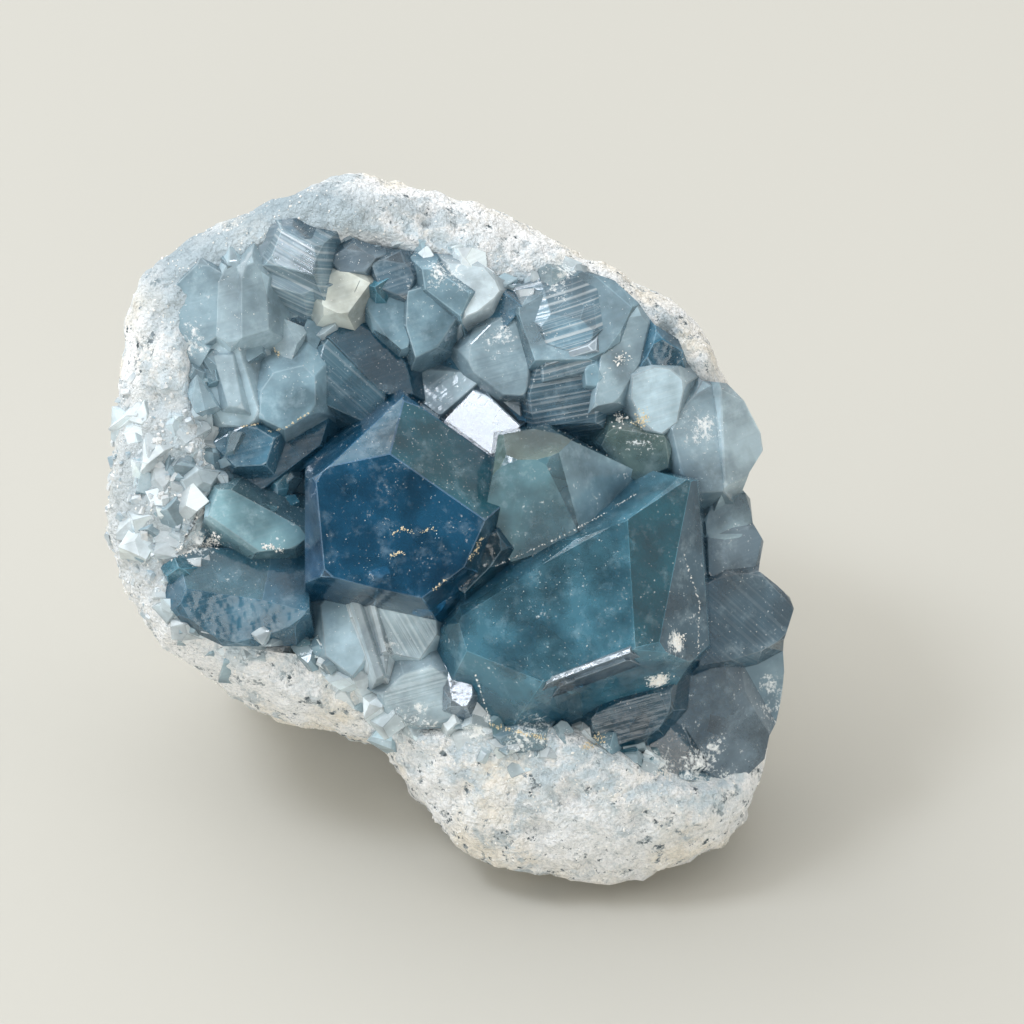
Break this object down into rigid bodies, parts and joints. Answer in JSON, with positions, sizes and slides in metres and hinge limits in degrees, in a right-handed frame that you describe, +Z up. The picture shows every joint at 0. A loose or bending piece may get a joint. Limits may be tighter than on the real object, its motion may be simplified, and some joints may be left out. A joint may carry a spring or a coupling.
{
  "type": "celestite geode",
  "caption": "Half of a chalky white nodule with its open face full of pale to deep blue celestite crystals, the right edge broken; it lies on its flattened belly.",
  "frame": {"origin": "middle of the bounding box, on the surface that the stone lies on", "axes": "+Z up, the open crystal face looks towards -Y and up, +X to the right of the open face as seen from the front"},
  "size_m": [0.0868, 0.073, 0.0743],
  "materials": {
    "chalky_rind": "rough, chalky and pitted",
    "celestite": "clear to milky blue crystal with glassy faces"
  },
  "bodies": {
    "root": {"rind": "chalky_rind", "crystal_crust": "celestite"}
  },
  "joints": []
}
